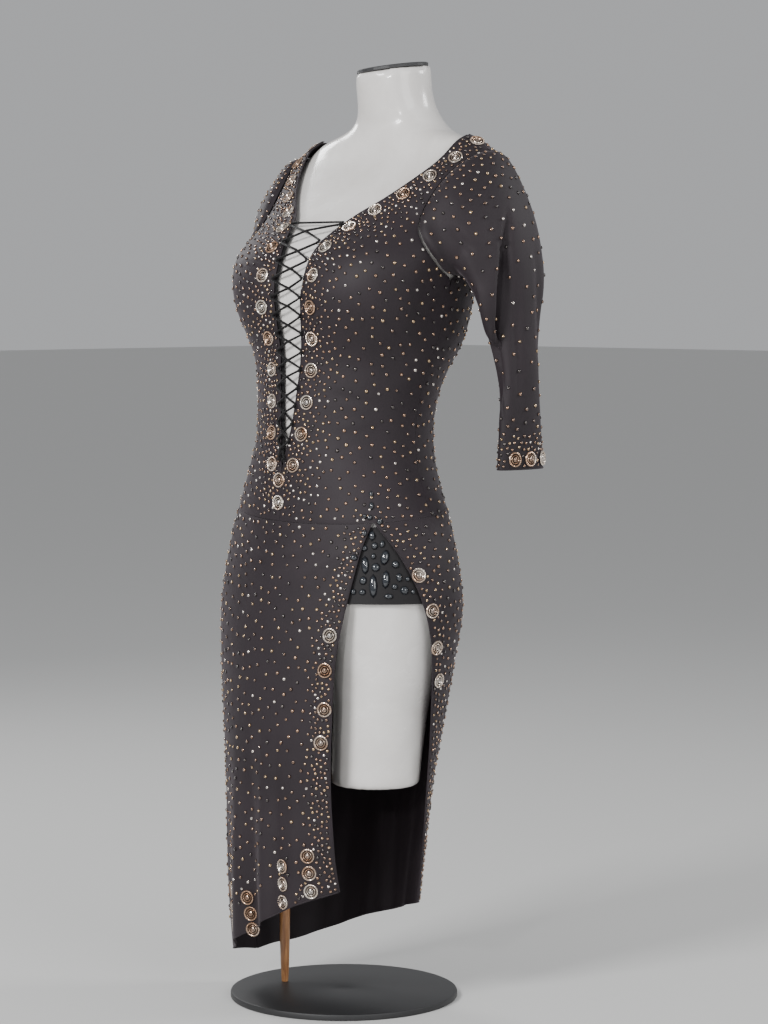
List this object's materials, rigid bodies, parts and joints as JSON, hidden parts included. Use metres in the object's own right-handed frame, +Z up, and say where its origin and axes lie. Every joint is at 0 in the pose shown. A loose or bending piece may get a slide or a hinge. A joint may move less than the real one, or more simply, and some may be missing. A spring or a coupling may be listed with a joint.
{
  "type": "latin dance dress on a limbless display form and stand",
  "caption": "Stretch latin dance dress with laced front, three-quarter sleeves and high side slit, worn by a limbless display form on a post and round base.",
  "frame": {"origin": "centre of the base plate's flat underside, on the floor", "axes": "+Z up, the dress's front faces -Y, the wearer's left side is +X"},
  "size_m": [0.4366, 0.3055, 1.1481],
  "materials": {
    "jersey": "matte stretch jersey with a soft sheen",
    "brief_jersey": "matte stretch jersey",
    "cord": "braided cord",
    "copper_trim": "pressed coppery metal, polished",
    "form_gloss": "glossy white shell",
    "cap_dark": "matte dark plate",
    "steel": "plain steel",
    "base_black": "matte black paint",
    "wood": "turned and varnished"
  },
  "bodies": {
    "root": {"bodice_back": "jersey", "bodice_front_left": "jersey", "bodice_front_right": "jersey", "brief_back": "brief_jersey", "brief_front": "brief_jersey", "brief_gusset": "brief_jersey", "form_body": "form_gloss", "form_neck_cap": "cap_dark", "lacing_cord": "cord", "medallion_left_01": "copper_trim", "medallion_left_02": "copper_trim", "medallion_left_03": "copper_trim", "medallion_left_04": "copper_trim", "medallion_left_05": "copper_trim", "medallion_left_06": "copper_trim", "medallion_left_07": "copper_trim", "medallion_left_08": "copper_trim", "medallion_left_09": "copper_trim", "medallion_left_10": "copper_trim", "medallion_left_11": "copper_trim", "medallion_left_12": "copper_trim", "medallion_left_13": "copper_trim", "medallion_left_14": "copper_trim", "medallion_right_01": "copper_trim", "medallion_right_02": "copper_trim", "medallion_right_03": "copper_trim", "medallion_right_04": "copper_trim", "medallion_right_05": "copper_trim", "medallion_right_06": "copper_trim", "medallion_right_07": "copper_trim", "medallion_right_08": "copper_trim", "medallion_right_09": "copper_trim", "medallion_right_10": "copper_trim", "medallion_right_11": "copper_trim", "medallion_right_12": "copper_trim", "medallion_right_13": "copper_trim", "medallion_right_14": "copper_trim", "skirt_back": "jersey", "skirt_front": "jersey", "sleeve_left": "jersey", "sleeve_right": "jersey", "stand_base": "base_black", "stand_flange": "steel", "stand_post": "wood"}
  },
  "joints": []
}
